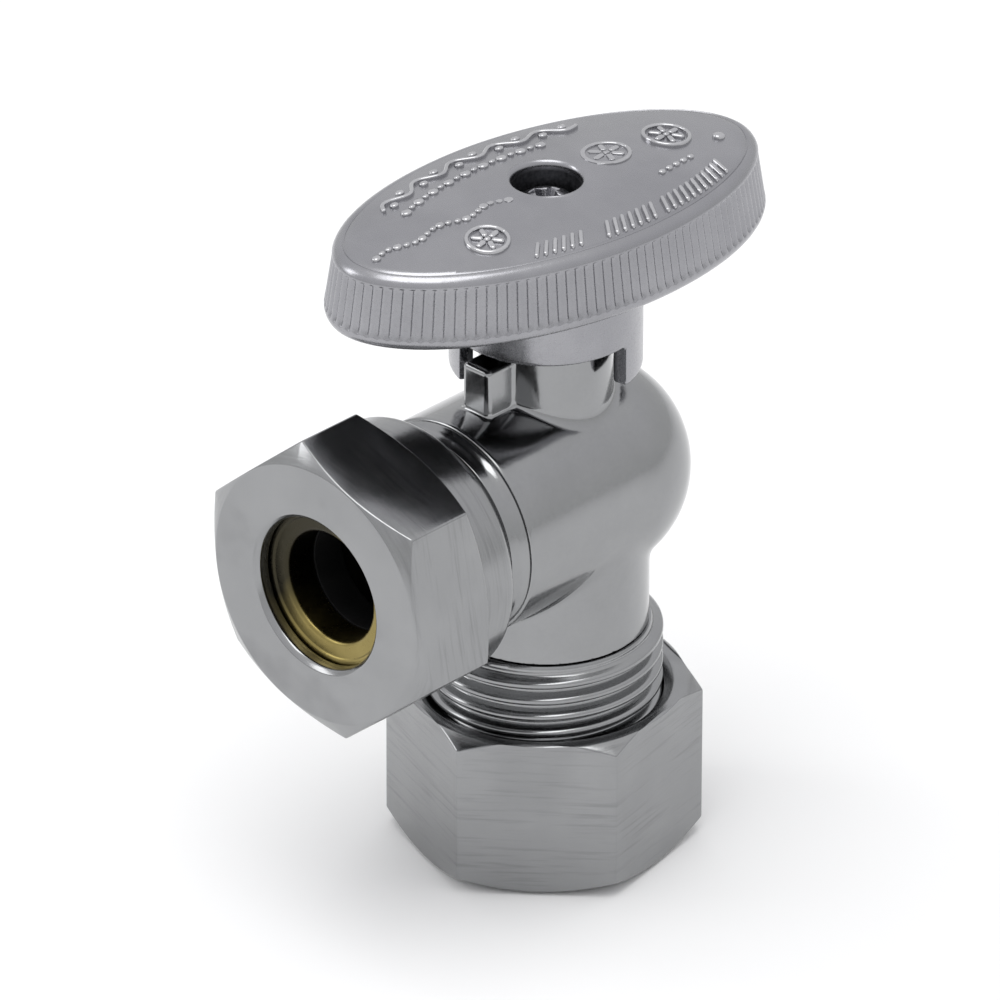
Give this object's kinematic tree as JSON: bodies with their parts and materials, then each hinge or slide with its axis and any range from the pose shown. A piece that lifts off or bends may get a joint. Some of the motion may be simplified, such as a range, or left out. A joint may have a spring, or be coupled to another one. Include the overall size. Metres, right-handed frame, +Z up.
{
  "type": "angle stop valve",
  "caption": "Quarter-turn angle stop valve: compression inlet below, slip-joint outlet at the side, oval fluted handle on top.",
  "frame": {"origin": "on the stem axis, in the plane of the inlet nut's bottom face, where the supply tube enters", "axes": "+Z up along the inlet leg and the stem, -Y along the outlet, +X to the right of someone who looks into the valve from the outlet's side along +Y"},
  "size_m": [0.026, 0.0502, 0.0636],
  "materials": {
    "chrome": "bright chrome plate over brass",
    "satin_chrome": "slightly dull chrome plate over die-cast zinc",
    "screw_steel": "zinc-plated steel",
    "brass": "turned",
    "rubber": "matt",
    "ptfe": "smooth"
  },
  "bodies": {
    "valve": {"valve_body": "chrome", "outlet_adapter": "chrome", "adapter_o_ring": "rubber", "outlet_seat": "ptfe", "rear_seat": "ptfe"},
    "handle_and_stem": {"handle": "satin_chrome", "handle_screw": "screw_steel", "stem": "brass", "stem_thrust_washer": "ptfe", "stem_o_ring_lower": "rubber", "stem_o_ring_upper": "rubber", "ball": "chrome"},
    "inlet_packing": {"inlet_ferrule": "brass"},
    "inlet_nut": {"inlet_nut": "chrome"},
    "outlet_packing": {"friction_ring": "brass", "slip_joint_washer": "rubber"},
    "outlet_nut": {"outlet_nut": "chrome"}
  },
  "joints": [
    {"name": "handle_turn", "type": "hinge", "parent": "valve", "child": "handle_and_stem", "pos_m": [0, 0, 0.0344], "axis": [0, 0, 1], "range_deg": [-85.4, 4.6]},
    {"name": "inlet_nut_travel", "type": "slide", "parent": "valve", "child": "inlet_packing", "axis": [0, 0, 1], "range_m": [-0.00476, 0]},
    {"name": "inlet_nut_turn", "type": "hinge", "parent": "inlet_packing", "child": "inlet_nut", "pos_m": [0, 0, 0], "axis": [0, 0, 1], "range_deg": [-1080, 0]},
    {"name": "outlet_nut_travel", "type": "slide", "parent": "valve", "child": "outlet_packing", "axis": [0, 1, 0], "range_m": [-0.00397, 0]},
    {"name": "outlet_nut_turn", "type": "hinge", "parent": "outlet_packing", "child": "outlet_nut", "pos_m": [0, -0.02815, 0.0344], "axis": [0, 1, 0], "range_deg": [-900, 0]}
  ],
  "couplings": [
    {"joint": "inlet_nut_travel", "follows": "inlet_nut_turn", "m_per_rad": 0.00025266},
    {"joint": "outlet_nut_travel", "follows": "outlet_nut_turn", "m_per_rad": 0.00025266}
  ]
}
